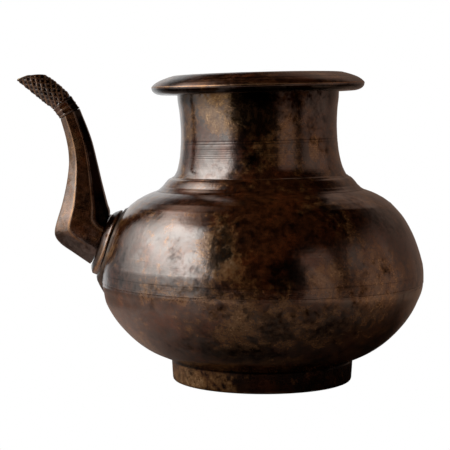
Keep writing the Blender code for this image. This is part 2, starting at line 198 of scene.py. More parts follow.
def lean(point):
    """Moves a point of the straight turned pot to its place on the leaning one."""
    x, y, z = point
    tilt = SHOULDER_TILT * ease(z, LEAN_FROM, SHOULDER_FROM) + NECK_TILT * ease(z, NECK_FROM, NECK_FULL)
    shift = NECK_SHIFT * ease(z, LEAN_FROM, NECK_FROM) + NECK_SLOPE * max(z - NECK_FROM, 0.0)
    shift += BOWL_SHIFT * (ease(z, *BOWL_FROM) - ease(z, *BOWL_TO))
    return Vector((x * math.cos(tilt) - shift, y, z + x * math.sin(tilt)))


def unlean(point):
    straight = Vector(point)
    for _ in range(5):
        straight += Vector(point) - lean(straight)
    return straight


# -------- making meshes

def ripple(point, size, seed):
    """Smooth noise from -1 to 1 whose bumps are about size across."""
    return noise.noise(Vector(point) / size + Vector((seed, seed * 1.7, -seed)))


def ridge(value, middle, half_width):
    """One at middle, falling to nothing half_width away."""
    return max(0.0, 1.0 - abs(value - middle) / half_width)


def piece(node, points, faces, wear_and_shade, material, sharp_degrees=40):
    """A visible piece in place of a CAD node, from points round the pot's axis, with its worn places,
    dirt and painted shade.
    """
    mesh = bpy.data.meshes.new(node + "_skin")
    mesh.from_pydata([(x + AXIS_X, y, z) for x, y, z in points], [], faces)
    mesh.validate()
    worn = mesh.attributes.new("wear_and_shade", "FLOAT", "POINT")
    worn.data.foreach_set("value", wear_and_shade)
    mesh.materials.append(material)
    item = bpy.data.objects.new(node + "_skin", mesh)
    bpy.context.scene.collection.objects.link(item)
    mesh.shade_smooth()
    mesh.set_sharp_from_angle(angle=math.radians(sharp_degrees))
    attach(item, "root")
    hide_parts(node)
    return item


def grid_faces(rings, count, closed):
    """Quads between rings of count points each; closed joins the last ring to the first."""
    faces = []
    for ring in range(rings if closed else rings - 1):
        near = ring * count
        far = (ring + 1) % rings * count
        for index in range(count):
            following = (index + 1) % count
            faces.append((near + index, far + index, far + following, near + following))
    return faces


def turned(node, outline, material, closed=True, leaning=True, shape=None, wear_and_shade=None, hole=None,
           droop=None):
    """Turns an outline that runs down its outer side, top to bottom.

    shape(x, y, z, radius) gives how far the surface stands proud of the outline, wear_and_shade(angle,
    radius, z) how worn it is there, and below nothing how black with dirt in places and painted shade in
    others, hole(point) is true where the sheet is cut away, and droop(y, radius) is how far the piece
    hangs down.
    """
    points, worn = [], []
    for radius, height in outline:
        for step in range(SEGMENTS):
            angle = 2 * math.pi * step / SEGMENTS
            across, along = math.cos(angle), math.sin(angle)
            proud = shape(radius * across, radius * along, height, radius) if shape else 0.0
            point = Vector((across * (radius + proud), along * (radius + proud), height))
            if droop:
                point.z -= droop(point.y, radius)
            points.append(lean(point) if leaning else point)
            worn.append(wear_and_shade(angle, radius, height) if wear_and_shade else 0.0)
    faces = grid_faces(len(outline), SEGMENTS, closed)
    if not closed:
        last = (len(outline) - 1) * SEGMENTS
        faces.append(tuple(range(SEGMENTS)))
        faces.append(tuple(range(last, last + SEGMENTS))[::-1])
    if hole:
        faces = [face for face in faces if not all(hole(points[corner]) for corner in face)]
    return piece(node, points, faces, worn, material)


def lofted(node, rings, wears_and_shades, material, sharp_degrees=35):
    """A closed tube-like piece from rings of equal length, each joined to the next, last to first."""
    count = len(rings[0])
    points = [point for ring in rings for point in ring]
    worn = [value for ring in wears_and_shades for value in ring]
    return piece(node, points, grid_faces(len(rings), count, True), worn, material, sharp_degrees)


# -------- material nodes

class Graph:
    """Adds nodes to a tree; a value may be a plain number, a colour or another node's output."""

    def __init__(self, tree):
        self.tree = tree

    def node(self, kind, **settings):
        made = self.tree.nodes.new(kind)
        for key, value in settings.items():
            setattr(made, key, value)
        return made

    def put(self, value, socket):
        if isinstance(value, bpy.types.NodeSocket):
            self.tree.links.new(value, socket)
        elif isinstance(value, tuple) and len(value) == 3 and socket.type == "RGBA":
            socket.default_value = (*value, 1.0)
        else:
            socket.default_value = value

    def math(self, operation, *values, clamp=False):
        made = self.node("ShaderNodeMath", operation=operation, use_clamp=clamp)
        for value, socket in zip(values, made.inputs):
            self.put(value, socket)
        return made.outputs[0]

    def add(self, *values):
        total = values[0]
        for value in values[1:]:
            total = self.math("ADD", total, value)
        return total

    def times(self, *values):
        total = values[0]
        for value in values[1:]:
            total = self.math("MULTIPLY", total, value)
        return total

    def span(self, value, low, high, to_low=0.0, to_high=1.0):
        """Goes smoothly from to_low to to_high as value goes from low to high."""
        made = self.node("ShaderNodeMapRange", interpolation_type="SMOOTHSTEP")
        for number, socket in zip((value, low, high, to_low, to_high), made.inputs):
            self.put(number, socket)
        return made.outputs[0]

    def mix(self, share, first, second, blend="MIX"):
        made = self.node("ShaderNodeMix", data_type="RGBA", blend_type=blend)
        self.put(share, made.inputs[0])
        self.put(first, made.inputs[6])
        self.put(second, made.inputs[7])
        return made.outputs[2]

    def vector(self, operation, *values):
        made = self.node("ShaderNodeVectorMath", operation=operation)
        for value, socket in zip(values, made.inputs):
            self.put(value, socket)
        return made.outputs["Value" if operation == "LENGTH" else "Vector"]

    def noise(self, place, size, detail=2.0, rough=0.5, twist=0.0):
        """Noise whose blotches are about size metres across; size may differ along X, Y and Z."""
        sizes = size if isinstance(size, tuple) else (size, size, size)
        scaled = self.vector("MULTIPLY", place, tuple(1 / length for length in sizes))
        made = self.node("ShaderNodeTexNoise")
        self.put(scaled, made.inputs["Vector"])
        made.inputs["Scale"].default_value = 1.0
        made.inputs["Detail"].default_value = detail
        made.inputs["Roughness"].default_value = rough
        made.inputs["Distortion"].default_value = twist
        return made.outputs["Fac"]

    def patch(self, place, centre, size):
        """One at centre, fading to nothing size away; both in metres along X, Y and Z."""
        away = self.vector("SUBTRACT", place, centre)
        share = self.vector("MULTIPLY", away, tuple(1 / length for length in size))
        return self.span(self.vector("LENGTH", share), 0.35, 1.0, 1.0, 0.0)


def on_spout(*rows):
    """Places in metres, from rows in millimetres from the pot's axis: centre, size and strength."""
    return [((AXIS_X + x * MM, y * MM, z * MM), tuple(length * MM for length in size), strength)
            for (x, y, z), size, strength in rows]


def on_pot(*rows, radius=None):
    """Places in metres, from rows in millimetres: degrees round from the front towards the spout,
    height, size and strength. radius is the surface's where it isn't the belly's."""
    places = []
    for angle, height, size, strength in rows:
        turn = math.radians(angle)
        reach = (radius or outline_radius(height * MM)) / MM
        places += on_spout(((-reach * math.sin(turn), -reach * math.cos(turn), height), size, strength))
    return places


def scaled(color, *shares):
    """The colour with each part times its share; one share is for all three."""
    return tuple(part * share for part, share in zip(color, shares * 3))


# How metallic the skin is, how strong and deep the bumps are, and the colour of bright cut metal and
# painted highlights
METALLIC = 0.16
BUMP = 0.8
BUMP_DEPTH = 0.16 * MM
CUT_METAL_AND_HIGHLIGHT = (0.80, 0.66, 0.42)


def patina(name, dark, brown, red, gold, rub=0.0, streak=0.0, spots=(), stains=(),
           roughness=(0.11, 0.20), ior=2.2, worn=(0.33, 0.19, 0.095), relief=1.0):
    """Old brass: a brown oxide skin, flecked golden where it is rubbed and black where it is stained.

    spots and stains are places that are rubbed or stained more, and rub is how much more the whole
    surface is rubbed. streak is how much the turned lines show, worn the colour where the mesh is
    worn, and relief how strong the bumps are.
    """
    material = bpy.data.materials.new(name)
    material.use_nodes = True
    graph = Graph(material.node_tree)
    shader = material.node_tree.nodes["Principled BSDF"]
    place = graph.node("ShaderNodeTexCoord").outputs["Object"]

    def shifted(x, y, z):
        return graph.vector("ADD", place, (x, y, z))

    def pulled(start, places):
        total = start
        for centre, size, strength in places:
            total = graph.add(total, graph.times(graph.patch(place, centre, size), strength))
        return total

    # Noise, from clouds 30 mm across down to specks, and the fine lines left by turning
    cloud = graph.noise(place, 30 * MM, 2.0, 0.5, 0.5)
    drift = graph.noise(shifted(0.31, 0.17, 0.23), 19 * MM, 3.0, 0.6, 0.8)
    blotch = graph.noise(shifted(0.11, 0.23, 0.05), 6.5 * MM, 6.0, 0.68, 0.3)
    grain = graph.noise(shifted(0.4, 0.1, 0.2), 3.0 * MM, 4.0, 0.68)
    speck = graph.noise(shifted(0.6, 0.2, 0.7), 0.8 * MM, 2.0, 0.6)
    turning = graph.noise(place, (30 * MM, 30 * MM, 0.8 * MM), 3.0, 0.6)

    # The skin: dark and brown, and redder in places
    tone = graph.add(graph.times(blotch, 0.45), graph.times(drift, 0.40), graph.times(grain, 0.15))
    color = graph.mix(graph.span(tone, 0.36, 0.62), dark, brown)
    reddened = graph.noise(shifted(0.7, 0.5, 0.9), 15 * MM, 4.0, 0.6)
    color = graph.mix(graph.span(reddened, 0.46, 0.68, 0.0, 0.8), color, red)
    shade = graph.add(graph.span(grain, 0.25, 0.75, 0.55, 1.45),
                      graph.span(turning, 0.3, 0.7, -streak, streak))
    color = graph.mix(1.0, color, grey(graph, shade), "MULTIPLY")

    # Rubbed places: a thin golden film, and in its middle flecks of bare metal
    area = graph.add(graph.times(cloud, 0.35), graph.times(blotch, 0.50), graph.times(grain, 0.15),
                     pulled(rub, spots))
    fine = graph.add(graph.times(grain, 0.65), graph.times(speck, 0.35))
    film = graph.times(graph.span(area, 0.47, 0.58, 0.0, 0.85),
                       graph.span(grain, 0.30, 0.60, 0.5, 1.0))
    color = graph.mix(film, color, scaled(gold, 0.44, 0.33, 0.22))
    rubbed = graph.times(graph.span(area, 0.53, 0.69), graph.span(fine, 0.40, 0.66, 0.12, 0.9))
    fleck = graph.mix(graph.span(speck, 0.38, 0.68), scaled(gold, 0.65), scaled(gold, 1.15))
    color = graph.mix(rubbed, color, fleck)

    # Black stains
    soot = graph.noise(shifted(0.9, 0.3, 0.6), 5 * MM, 5.0, 0.66, 0.3)
    smoke = graph.noise(shifted(0.2, 0.8, 0.4), 26 * MM)
    foul = graph.add(graph.times(soot, 0.55), graph.times(smoke, 0.45), pulled(0.0, stains))
    stained = graph.times(graph.span(foul, 0.48, 0.64), graph.span(grain, 0.32, 0.60, 0.45, 1.0))
    color = graph.mix(graph.times(stained, 0.92), color, scaled(dark, 0.25))

    # The mesh's own wear and painted light: worn metal up to one, cut bright above that, black below
    # nothing
    edge = graph.node("ShaderNodeAttribute", attribute_name="wear_and_shade").outputs["Fac"]
    scratched = graph.times(graph.span(edge, 0.10, 0.95), graph.span(blotch, 0.34, 0.58, 0.45, 1.0))
    color = graph.mix(scratched, color, worn)
    # Above 1.3 the colour is bright cut metal, and at the nozzle's tip a painted highlight
    cut_bright_and_highlight = graph.span(edge, 1.3, 1.9)
    color = graph.mix(cut_bright_and_highlight, color, CUT_METAL_AND_HIGHLIGHT)
    # Black below nothing: dirt in grooves, pits and joints, and painted shade under the rim and where
    # the spout faces the pot
    dirt_and_shade = graph.span(edge, -0.7, -0.02, 1.0, 0.0)
    color = graph.mix(graph.times(dirt_and_shade, 0.94), color, scaled(dark, 0.12))
    graph.put(color, shader.inputs["Base Color"])

    # Black that counts as metal neither scatters light nor mirrors it
    bare = graph.math("MAXIMUM", graph.add(graph.times(film, 0.16), graph.times(rubbed, 0.36)),
                      graph.times(scratched, graph.span(edge, 1.3, 1.9, 0.60, 0.0)))
    dull = graph.add(graph.times(stained, 0.50), graph.times(dirt_and_shade, 0.75))
    uneven = graph.span(drift, 0.36, 0.64, -0.12, 0.20)
    graph.put(graph.math("ADD", graph.add(METALLIC, uneven), graph.add(bare, dull), clamp=True),
              shader.inputs["Metallic"])

    low, high = roughness
    uneven_gloss = graph.add(graph.times(drift, 0.5), graph.times(grain, 0.5))
    rough = graph.span(uneven_gloss, 0.38, 0.62, low, high)
    rough = graph.add(rough, graph.times(rubbed, 0.14), graph.times(scratched, 0.14))
    graph.put(rough, shader.inputs["Roughness"])
    shader.inputs["IOR"].default_value = ior

    height = graph.add(graph.times(grain, 0.34), graph.times(speck, 0.10), graph.times(turning, 0.20),
                       graph.times(blotch, 0.60), graph.times(stained, -0.08))
    bump = graph.node("ShaderNodeBump")
    bump.inputs["Strength"].default_value = BUMP * relief
    bump.inputs["Distance"].default_value = BUMP_DEPTH
    graph.put(height, bump.inputs["Height"])
    graph.put(bump.outputs["Normal"], shader.inputs["Normal"])
    return material


# -------- the pot

# Base colours of the oxide skin and of rubbed brass, shared by the pieces
DARK = (0.016, 0.0052, 0.0018)
BROWN = (0.064, 0.020, 0.0058)
RED = (0.092, 0.024, 0.0068)
GOLD = (0.45, 0.295, 0.155)

NECK_RADIUS = 46 * MM
FOOT_RADIUS = 53 * MM

# Places rubbed golden, or left plain below 0
BODY_SPOTS = on_pot(
    (17, 84, (18, 18, 24), 0.13),
    (27, 62, (36, 28, 10), 0.07),
    (70, 52, (30, 50, 26), -0.10),
    (45, 40, (36, 40, 20), -0.08),
    (-2, 42, (46, 26, 22), 0.07),
    (-26, 44, (36, 34, 20), 0.05),
    (52, 82, (22, 32, 26), -0.09),
    (-21, 72, (12, 16, 26), 0.10),
    (-42, 62, (28, 28, 28), 0.10),
    (22, 109, (60, 34, 8), -0.12),
    (-6, 90, (48, 34, 24), -0.14),
    (-60, 92, (40, 40, 18), -0.10),
) + on_pot(
    (29, 159, (26, 20, 17), 0.20),
    (42, 132, (28, 28, 17), -0.14),
    (-38, 138, (4, 7, 10), 0.32),
    (-15, 146, (16, 14, 22), 0.06),
    radius=NECK_RADIUS)
FOOT_SPOTS = on_pot(
    (60, 5, (22, 30, 14), 0.20),
    (32, 4, (22, 22, 12), 0.10),
    radius=FOOT_RADIUS)
SPOUT_SPOTS = on_spout(
    ((-113, -9, 133), (9, 14, 20), 0.16),
    ((-119, -10, 104), (7, 14, 16), 0.08),
    ((-108, -10, 118), (9, 14, 26), -0.06),
)

# Places stained black, or kept clean below 0
BODY_STAINS = on_pot(
    (16, 86, (9, 12, 20), 0.12),
    (-8, 72, (14, 16, 16), 0.10),
    (12, 27, (36, 22, 9), 0.14),
    (-12, 44, (34, 20, 15), 0.10),
    (-62, 98, (26, 30, 12), 0.10),
    (48, 44, (34, 44, 22), -0.12),
    (45, 85, (40, 40, 24), -0.08),
) + on_pot(
    (8, 158, (18, 14, 20), 0.16),
    (62, 140, (20, 24, 40), -0.15),
    radius=NECK_RADIUS)
SPOUT_STAINS = on_spout(
    ((-108, -6, 74), (26, 28, 13), 0.50),
    ((-120, -6, 82), (10, 26, 8), 0.30),
)


# The unevenness that raising by hammer leaves in the sheet: height, size across and noise seed
DENTS = ((0.16 * MM, 46 * MM, 1.3), (0.06 * MM, 19 * MM, 4.1), (0.022 * MM, 8 * MM, 7.7))


def dents(x, y, z, radius):
    return sum(height * ripple((x, y, z), size, seed) for height, size, seed in DENTS)


def seam_wear(angle, radius, height):
    """The belly's band: worn here and there along its lower edge, faintly along its upper edge, and
    dark in the crease above."""
    lower = 0.5 * max(0.0, ripple((angle, 0, 0), 0.25, 3.1))
    return (lower * ridge(height, SEAM_BOTTOM + 0.3 * MM, 0.8 * MM)
            + 0.22 * ridge(height, SEAM_TOP - 0.2 * MM, 0.5 * MM)
            - 0.4 * ridge(height, SEAM_TOP + 0.5 * MM, 0.5 * MM))


def in_spout_hole(point):
    """Whether a point of the belly's sheet lies in the hole under the spout's spigot."""
    away = Vector(point) - ROOT_POINT
    return (abs(away.dot(STUB_UP)) < ROOT_SPIGOT_HALF[0] and abs(away.y) < ROOT_SPIGOT_HALF[1]
            and away.dot(STUB_OUT) > -BELLY_RADIUS / 3)


def make_lower_shell(material):
    lip_radius = BELLY_RADIUS - WALL - GAP
    outside = [(lip_radius, LIP_TOP), (lip_radius, BOWL[0][1]), *BOWL]
    # Below the lip the inside is straight down to the fourth point that BOWL is drawn through
    inside = offset(BOWL, WALL)[3 * STEPS:]
    inside[-1] = (BOWL[-1][0], BOWL[-1][1] + WALL)
    inside = [(lip_radius - WALL, LIP_TOP), (lip_radius - WALL, LIP_FOOT), *inside]
    outline = spaced(inside[::-1], COARSE) + spaced(outside, FINE)
    turned("lower_shell", outline, material, closed=False, shape=dents)


def make_upper_shell(material):
    skirt = BELLY_RADIUS - WALL
    inside = offset([point for point in SHOULDER if point[1] > SEAM_TOP + SKIRT_RISE], WALL)
    inside[0] = (SHOULDER[0][0], inside[0][1])
    inside += [(skirt, SEAM_TOP + SKIRT_RISE), (skirt, SEAM_BOTTOM)]
    outline = spaced(SHOULDER, FINE) + spaced(inside[::-1], COARSE)
    turned("upper_shell", outline, material, shape=dents, wear_and_shade=seam_wear,
           hole=in_spout_hole)


def make_collar(material):
    inner = SPIGOT_RADIUS + GAP
    top = SHOULDER_Z - GAP
    bead = smooth(in_mm((50.95, 120.6), (51.5, 120.7), (52.1, 120.3), (52.5, 119.9)), 4)
    band = smooth(in_mm((53.0, 119.8), (54.0, 119.2), (55.2, 118.0), (56.5, 116.4), (57.4, 115.2)))
    foot = smooth(in_mm((57.7, 114.95), (58.4, 114.35), (59.4, 113.4), (60.8, 112.45)), 4)
    underside = in_mm((60.2, 112.45), (54.6, 114.2), (50.0, 115.75))
    outline = [(inner, top), (50.9 * MM, top), *bead, *band, *foot, *underside, (inner, 116.0 * MM)]

    def wear_and_shade(angle, radius, height):
        on_bead = 0.6 * ridge(radius, 51.5 * MM, 0.7 * MM)
        on_corner = 0.3 * ridge(radius, 57.45 * MM, 0.35 * MM)
        is_top = height >= 114.0 * MM
        return on_bead + on_corner if is_top else 0.0

    turned("neck_collar", spaced(outline, 0.6 * MM), material, shape=dents, wear_and_shade=wear_and_shade)


# Turned lines cut round the neck: height and depth, how far one spreads, and the height of a light one
NECK_LINES = in_mm((141.8, 0.16), (140.3, 0.14), (137.2, 0.09), (136.0, 0.07), (134.8, 0.09),
                   (133.5, 0.06), (132.3, 0.07))
NECK_LINE_HALF = 0.45 * MM
NECK_LIGHT_LINE = 138.4 * MM


def make_neck(material):
    spigot_inside = SPIGOT_RADIUS - NECK_WALL
    inside = offset(NECK, NECK_WALL)
    inside[0] = (NECK[0][0] - NECK_WALL, NECK_TOP)
    inside[-1] = (spigot_inside, SPIGOT_TOP)
    outside = [*NECK, (50.9 * MM, SHOULDER_Z), (SPIGOT_RADIUS, SHOULDER_Z)]
    spigot = [(SPIGOT_RADIUS, SPIGOT_BOTTOM), (spigot_inside, SPIGOT_BOTTOM), *inside[::-1]]
    outline = spaced(outside, 0.4 * MM) + spaced(spigot, COARSE)

    def shape(x, y, z, radius):
        groove = sum(depth * ridge(z, height, NECK_LINE_HALF) for height, depth in NECK_LINES)
        is_outside = radius > 45.5 * MM
        return 0.6 * dents(x, y, z, radius) - (groove if is_outside else 0.0)

    def wear_and_shade(angle, radius, height):
        """Dirt in the lines, one light line, and painted shade under the rim, darker towards it."""
        lines = sum(ridge(height, line, 0.5 * MM) * depth / (0.3 * MM) for line, depth in NECK_LINES)
        light = 0.45 * ridge(height, NECK_LIGHT_LINE, 0.35 * MM)
        # The last term is painted shade, darkest just under the rim
        return light - lines - 0.40 * ease(height, 157 * MM, 168 * MM)

    turned("neck", outline, material, shape=shape, wear_and_shade=wear_and_shade)


# Turned lines on the rim's upper side: height, and how worn, or how black below 0
RIM_LINES = ((180.0 * MM, 0.35), (179.35 * MM, -0.5), (178.5 * MM, 0.22), (177.8 * MM, -0.5),
             (177.0 * MM, 0.30), (176.3 * MM, -0.4), (175.3 * MM, -0.3))
RIM_EDGE = 174.0 * MM
# Below this height the rim's underside is painted black as shade
RIM_SHADED_UNDERSIDE = 172.9 * MM
RIM_DROOP = 0.9 * MM


def make_rim(material):
    socket = NECK[0][0] + GAP
    top = [(MOUTH_RADIUS + MOUTH_CHAMFER, RIM_TOP), (50.3 * MM, RIM_TOP), (50.6 * MM, 180.05 * MM)]
    roll = smooth(in_mm((50.9, 179.95), (53.0, 179.4), (57.4, 177.8), (60.2, 176.3), (61.8, 174.95)))
    nose = smooth(in_mm((62.25, 174.45), (62.55, 174.0), (62.6, 173.5)), 4)
    under = smooth(in_mm((62.5, 173.1), (62.1, 171.9), (61.2, 170.9), (59.7, 170.0), (57.4, 169.4)), 5)
    under += [(52.0 * MM, RIM_BOTTOM), (socket, RIM_BOTTOM), (socket, RIM_SOCKET)]
    mouth = [(MOUTH_RADIUS, RIM_SOCKET), (MOUTH_RADIUS, RIM_TOP - MOUTH_CHAMFER)]
    outline = spaced(top + roll + nose + under, 0.5 * MM) + spaced(mouth, FINE)

    def shape(x, y, z, radius):
        return 0.5 * dents(x, y, z, radius) if radius > 50 * MM else 0.0

    def wear_and_shade(angle, radius, height):
        """Painted shade, black, underneath, and worn bright along the edge."""
        if height < RIM_SHADED_UNDERSIDE:
            return -0.62
        lines = sum(strength * ridge(height, line, 0.35 * MM) for line, strength in RIM_LINES)
        return lines + 0.95 * ridge(height, RIM_EDGE, 0.6 * MM)

    def droop(y, radius):
        """The near side of the rim's edge hangs a little."""
        return RIM_DROOP * ease(-y, 10 * MM, 60 * MM) * ease(radius, 50.6 * MM, 60 * MM)

    turned("rim_ring", outline, material, shape=shape, wear_and_shade=wear_and_shade, droop=droop)


def make_foot(material):
    outline = in_mm((53.62, 12.38), (53.75, 11.9), (53.4, 6.0), (53.1, 1.4), (52.9, 0.7), (52.5, 0.25),
                    (51.9, 0.0), (49.9, 0.0), (49.7, 0.2), (50.0, 10.82))

    def wear_and_shade(angle, radius, height):
        """Rubbed here and there along the bottom edge, and black where it meets the bowl."""
        here = max(0.0, ripple((angle, 0, 0), 0.35, 2.2) + 0.25)
        return 1.3 * here * ridge(height, 0.5 * MM, 1.6 * MM) - 0.7 * ease(height, 11.0 * MM, 11.8 * MM)

    turned("foot_ring", spaced(outline, 0.8 * MM), material, leaning=False, wear_and_shade=wear_and_shade)


# -------- the spout

# Side view of the spout, its collar and its nozzle, in mm from the pot's axis: outer edge, inner
# edge, half depth
SPOUT_SECTIONS = [
    (-111.6, 75.4, -90.5, 97.6, 13.8),
    (-118.2, 80.0, -90.4, 98.3, 13.9),
    (-121.9, 84.4, -90.4, 99.0, 13.9),
    (-122.5, 88.6, -90.5, 99.9, 13.8),
    (-121.0, 94.8, -90.9, 101.3, 13.4),
    (-118.1, 104.0, -92.0, 104.6, 12.5),
    (-115.2, 117.4, -95.3, 118.2, 10.0),
    (-114.0, 129.3, -98.1, 130.6, 8.2),
    (-115.3, 141.0, -101.4, 143.4, 7.2),
    (-118.8, 153.8, -107.7, 159.9, 6.6),
]
COLLAR_START = (-119.0, 154.1, -107.9, 160.3, 6.6)
COLLAR_END = (-122.8, 159.2, -112.7, 167.3, 6.6)
NOZZLE_SECTIONS = [
    (-123.0, 159.45, -112.9, 167.55, 6.5),
    (-127.9, 162.9, -115.4, 170.6, 6.9),
    (-133.2, 167.2, -119.6, 174.4, 7.2),
    (-138.6, 171.6, -123.9, 177.8, 7.0),
    (-144.3, 176.3, -127.6, 179.9, 6.6),
]
SOCKET_END = (-128.4, 163.3, -115.8, 171.0, 6.9)


def off_belly(up, across, height):
    """The point over (up, across) on the flange's own axes, height off the belly's outside, which is
    found by halving the span it lies in."""
    base = ROOT_POINT + STUB_UP * up + ACROSS * across
    low, high = -25.0 * MM, 25.0 * MM
    for _ in range(24):
        middle = (low + high) / 2
        straight = unlean(base + STUB_OUT * middle)
        if math.hypot(straight.x, straight.y) < outline_radius(straight.z):
            low = middle
        else:
            high = middle
    return base + STUB_OUT * (low + height)


CORNERS = [(1, OCTAGON), (OCTAGON, 1), (-OCTAGON, 1), (-1, OCTAGON),
           (-1, -OCTAGON), (-OCTAGON, -1), (OCTAGON, -1), (1, -OCTAGON)]


def rounded_octagon(flat_steps, arc_steps, cut):
    """(a, b, edge) round an octagon with half size one: each corner is an arc that starts cut from
    it, and edge is one in the middle of the arc and nothing at its ends."""
    ring = []
    for index, corner in enumerate(CORNERS):
        before, after = CORNERS[index - 1], CORNERS[(index + 1) % len(CORNERS)]
        side = 2 * OCTAGON
        start = [c + (b - c) * cut / side for b, c in zip(before, corner)]
        end = [c + (a - c) * cut / side for a, c in zip(after, corner)]
        for step in range(arc_steps + 1):
            t = step / arc_steps
            bend = [(1 - t) ** 2 * s + 2 * t * (1 - t) * c + t * t * e
                    for s, c, e in zip(start, corner, end)]
            ring.append((*bend, 4 * t * (1 - t)))
        follow = [c + (b - c) * cut / side for b, c in zip(corner, after)]
        for step in range(1, flat_steps):
            t = step / flat_steps
            ring.append((end[0] + (follow[0] - end[0]) * t, end[1] + (follow[1] - end[1]) * t, 0.0))
    return ring


ROUND_EIGHT = rounded_octagon(5, 6, 0.12)
FINE_EIGHT = rounded_octagon(9, 12, 0.36)


def section(side, shape, shrink=0.0):
    """A ring of the spout between the outer and inner edge of its side view, made smaller all round
    by shrink."""
    start = Vector((side[0], 0.0, side[1])) * MM
    end = Vector((side[2], 0.0, side[3])) * MM
    half = (end - start) / 2
    half -= half.normalized() * shrink
    across = ACROSS * (side[4] * MM - shrink)
    return [(start + end) / 2 + half * a + across * b for a, b, _ in shape]


def stub_section(stand, half_up, half_across, shape):
    """A ring across the spout's root, stand out from the belly."""
    middle = ROOT_POINT + STUB_OUT * stand
    return [middle + STUB_UP * half_up * a + ACROSS * half_across * b for a, b, _ in shape]


def eight_off_belly(half_up, half_across, height, shape, sag=0.0):
    """A ring height off the belly, which stands higher by sag at its bottom."""
    return [off_belly(half_up * a, half_across * b, height + sag * max(-a, 0.0) ** 3)
            for a, b, _ in shape]


def blend_rings(first, second, count):
    """count rings on the way from first to second, without either."""
    return [[a.lerp(b, step / (count + 1)) for a, b in zip(first, second)]
            for step in range(1, count + 1)]


def pushed(rings, depth):
    """The rings with each point moved out from its ring's middle by depth(point)."""
    moved = []
    for ring in rings:
        middle = sum(ring, Vector()) / len(ring)
        moved.append([point + (point - middle).normalized() * depth(point) for point in ring])
    return moved


def spout_dents(point):
    return (0.10 * ripple(point, 13 * MM, 3.0) + 0.03 * ripple(point, 5 * MM, 5.0)) * MM


def spout_wear_and_shade(ring, shape):
    """Rubbed on the facets and edges away from the pot, above the elbow; painted shade, dark, on the
    facet that faces the pot on the near side."""
    worn = []
    for point, (a, b, edge) in zip(ring, shape):
        facet = 0.32 * ease(-a, 0.36, 0.46) * ease(abs(b), 0.36, 0.46) * ease(point.z, 80 * MM, 91 * MM)
        above_elbow = 0.25 + 0.75 * ease(point.z, 77 * MM, 88 * MM)
        corner = 0.60 * edge ** 3 * (1 - ease(a, 0.50, 0.90)) * above_elbow
        shaded = 0.9 * ease(a, 0.46, 0.62) * ease(-b, 0.22, 0.40)
        worn.append(facet + corner - shaded)
    return worn


def make_spout_tube(material):
    shape = ROUND_EIGHT
    spigot_up, spigot_across = ROOT_SPIGOT_HALF
    root = eight_off_belly(*ROOT_HALF, PLATE_FACE[0] + 1.6 * GAP, shape, CROWN_SAG)
    first = section(SPOUT_SECTIONS[0], shape)
    sides = smooth(SPOUT_SECTIONS, 9)
    body = [root, *blend_rings(root, first, 5), *(section(side, shape) for side in sides)]
    body = pushed(body, spout_dents)
    spigot = [stub_section(stand, spigot_up, spigot_across, shape)
              for stand in (-ROOT_SPIGOT_DEPTH, ROOT_STAND)]
    end = [section(COLLAR_START, shape, NECKING), section(COLLAR_END, shape, NECKING),
           section(NOZZLE_SECTIONS[1], shape, NECKING + TAPER)]
    bore = [section(NOZZLE_SECTIONS[1], shape, NECKING + TAPER + NOZZLE_WALL),
            section(COLLAR_END, shape, NECKING + NOZZLE_WALL),
            section(COLLAR_START, shape, NECKING + NOZZLE_WALL)]
    bore += [section(side, shape, SPOUT_WALL) for side in smooth(SPOUT_SECTIONS, 2)[-3::-1]]
    bore += [stub_section(stand, spigot_up - SPOUT_WALL, spigot_across - SPOUT_WALL, shape)
             for stand in (ROOT_STAND, -ROOT_SPIGOT_DEPTH)]
    plain = [0.0] * len(shape)
    wears_and_shades = [plain] * len(spigot) + [spout_wear_and_shade(ring, shape) for ring in body]
    wears_and_shades += [plain] * (len(end) + len(bore))
    lofted("spout_tube", spigot + body + end + bore, wears_and_shades, material)


# Where the three beads of the spout's collar lie along it and half a bead's width, as shares; how far
# a bead stands up and the groove beside it lies down; and how many rings the collar has
BEAD_PLACES = (0.10, 0.52, 0.95)
BEAD_HALF = 0.085
BEAD = 0.16 * MM
BEAD_ROOT = 0.07 * MM
BEAD_STEPS = 60


def make_spout_collar(material):
    """Three fine beads about the joint between the tube and the nozzle."""
    shape = ROUND_EIGHT
    rings, wears_and_shades = [], []
    for step in range(BEAD_STEPS + 1):
        share = step / BEAD_STEPS
        swell = max(ridge(share, place, BEAD_HALF) for place in BEAD_PLACES) ** 0.6
        rings.append(section(between(COLLAR_START, COLLAR_END, share), shape,
                             BEAD_ROOT - (BEAD + BEAD_ROOT) * swell))
        # Worn on the beads' outer side, and painted shade in black on the side that faces the pot
        wears_and_shades.append([0.8 * swell ** 2 * (1 - ease(a, -0.2, 0.6)) - 0.9 * ease(a, 0.42, 0.62)
                      for a, _, _ in shape])
    for side in (COLLAR_END, COLLAR_START):
        rings.append(section(side, shape, NECKING - GAP))
        wears_and_shades.append([0.0] * len(shape))
    lofted("spout_collar", rings, wears_and_shades, material)


def raised(ring, rise):
    """The ring with each point lifted by rise(point)."""
    return [point + Vector((0.0, 0.0, rise(point))) for point in ring]


# How far the middle of the mouth is lifted
BEAK = 1.3 * MM


def arch_mouth(ring, share=1.0):
    """Lifts the middle of the mouth, so that its lip arches down to both ends."""
    middle = sum(point.x for point in ring) / len(ring)
    half = max(abs(point.x - middle) for point in ring)
    return raised(ring, lambda point: share * BEAK * (1 - ((point.x - middle) / half) ** 2))


# Two sets of ridges that cross on the nozzle: pitch, height as a share of HATCH_DEPTH, and the turn of
# their normal in the side view
HATCH = (
    (2.6 * MM, 1.0, math.radians(12.5)),
    (2.4 * MM, 0.72, math.radians(84)),
)
HATCH_DEPTH = 0.45 * MM
HATCH_SHARPNESS = 2.6
HATCH_WANDER = 0.3 * MM

